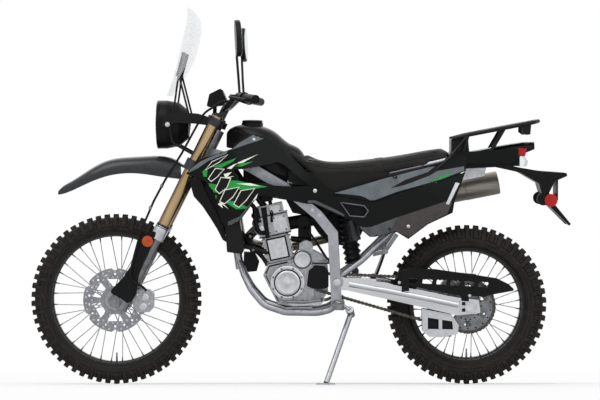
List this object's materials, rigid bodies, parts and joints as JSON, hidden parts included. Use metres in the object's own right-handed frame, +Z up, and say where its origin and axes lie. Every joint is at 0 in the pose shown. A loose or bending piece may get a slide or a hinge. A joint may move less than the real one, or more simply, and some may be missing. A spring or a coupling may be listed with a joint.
{
  "type": "dual sport motorcycle",
  "caption": "Dual sport motorcycle on its side stand, with lugged tyres on spoked wheels, screen, long seat and rear rack.",
  "frame": {"origin": "on the ground under the middle of the parked machine's box", "axes": "+X towards the rear wheel, +Y towards the rider's right, +Z up; the machine leans about 7 degrees towards -Y onto its side stand"},
  "size_m": [2.1923, 0.8232, 1.5328],
  "materials": {
    "tyre": "matte, knobbly",
    "rim_black": "satin black",
    "hub_alloy": "cast, satin",
    "disc_steel": "ground",
    "sprocket_steel": "satin",
    "gold_anodised": "bronze-gold anodised",
    "fork_metal": "satin",
    "clamp_alloy": "satin black",
    "bar_metal": "satin",
    "black_plastic": "grained",
    "rubber": "matte",
    "lamp_glass": "clear",
    "screen_plastic": "clear",
    "black_steel": "satin",
    "grey_panel": "metallic gloss",
    "tank_plastic": "satin",
    "cap_metal": "satin",
    "shroud_panel": "gloss with printed green and white shapes",
    "side_panel": "gloss",
    "seat_vinyl": "grained vinyl",
    "frame_silver": "satin",
    "swingarm_alloy": "brushed",
    "engine_metal": "cast",
    "exhaust_steel": "heat-toned",
    "muffler_metal": "brushed",
    "radiator_metal": "painted black",
    "shock_metal": "satin",
    "caliper_alloy": "cast",
    "shield_steel": "bright",
    "chain_steel": "oiled",
    "red_lens": "clear",
    "amber_lens": "clear"
  },
  "bodies": {
    "frame": {"chain": "chain_steel", "chain_guard": "black_plastic", "coolant_hose": "rubber", "cradle": "frame_silver", "engine_case": "engine_metal", "engine_cylinder": "engine_metal", "exhaust": "exhaust_steel", "foot_controls": "black_steel", "fuel_cap": "cap_metal", "fuel_tank": "tank_plastic", "heat_shield": "shield_steel", "inner_fender": "black_plastic", "intake": "black_plastic", "main_frame": "frame_silver", "muffler": "muffler_metal", "plate_light": "lamp_glass", "rack": "black_steel", "radiator_ducts": "black_plastic", "radiators": "radiator_metal", "rear_caliper": "caliper_alloy", "rear_fender": "black_plastic", "rear_reflectors": "red_lens", "seat": "seat_vinyl", "shock": "shock_metal", "shroud_left": "shroud_panel", "shroud_right": "shroud_panel", "side_cover_left": "side_panel", "side_cover_right": "side_panel", "sprocket_cover": "black_plastic", "subframe": "frame_silver", "swingarm": "swingarm_alloy", "tail": "side_panel", "tail_light": "red_lens"},
    "steering": {"fork_tubes": "gold_anodised", "fork_sliders": "fork_metal", "triple_clamp": "clamp_alloy", "handlebar": "bar_metal", "controls": "rubber", "mirrors": "black_plastic", "headlight": "black_plastic", "headlight_lens": "lamp_glass", "windscreen": "screen_plastic", "windscreen_mount": "black_steel", "instrument": "black_plastic", "front_fender": "grey_panel", "fork_guards": "black_plastic", "front_brake": "caliper_alloy", "fork_reflectors": "amber_lens"},
    "front_wheel": {"front_tyre": "tyre", "front_rim": "rim_black", "front_hub": "hub_alloy", "front_disc": "disc_steel"},
    "rear_wheel": {"rear_tyre": "tyre", "rear_rim": "rim_black", "rear_hub": "hub_alloy", "rear_disc": "disc_steel", "rear_sprocket": "sprocket_steel"},
    "side_stand": {"side_stand": "black_steel"}
  },
  "joints": [
    {"name": "steering", "type": "hinge", "parent": "frame", "child": "steering", "pos_m": [-0.4121, 0.0334, 0.8804], "axis": [0.4462, -0.1091, 0.8883], "range_deg": [-45, 45]},
    {"name": "front_wheel_spin", "type": "hinge", "parent": "steering", "child": "front_wheel", "pos_m": [-0.7492, 0.0989, 0.3474], "axis": [0, 0.9925, 0.1219], "continuous": true},
    {"name": "rear_wheel_spin", "type": "hinge", "parent": "frame", "child": "rear_wheel", "pos_m": [0.6808, 0.1017, 0.3246], "axis": [0, 0.9925, 0.1219], "continuous": true},
    {"name": "side_stand_fold", "type": "hinge", "parent": "frame", "child": "side_stand", "pos_m": [0.2058, -0.0324, 0.2839], "axis": [-0.2244, -0.7872, 0.5744], "range_deg": [0, 114]}
  ]
}
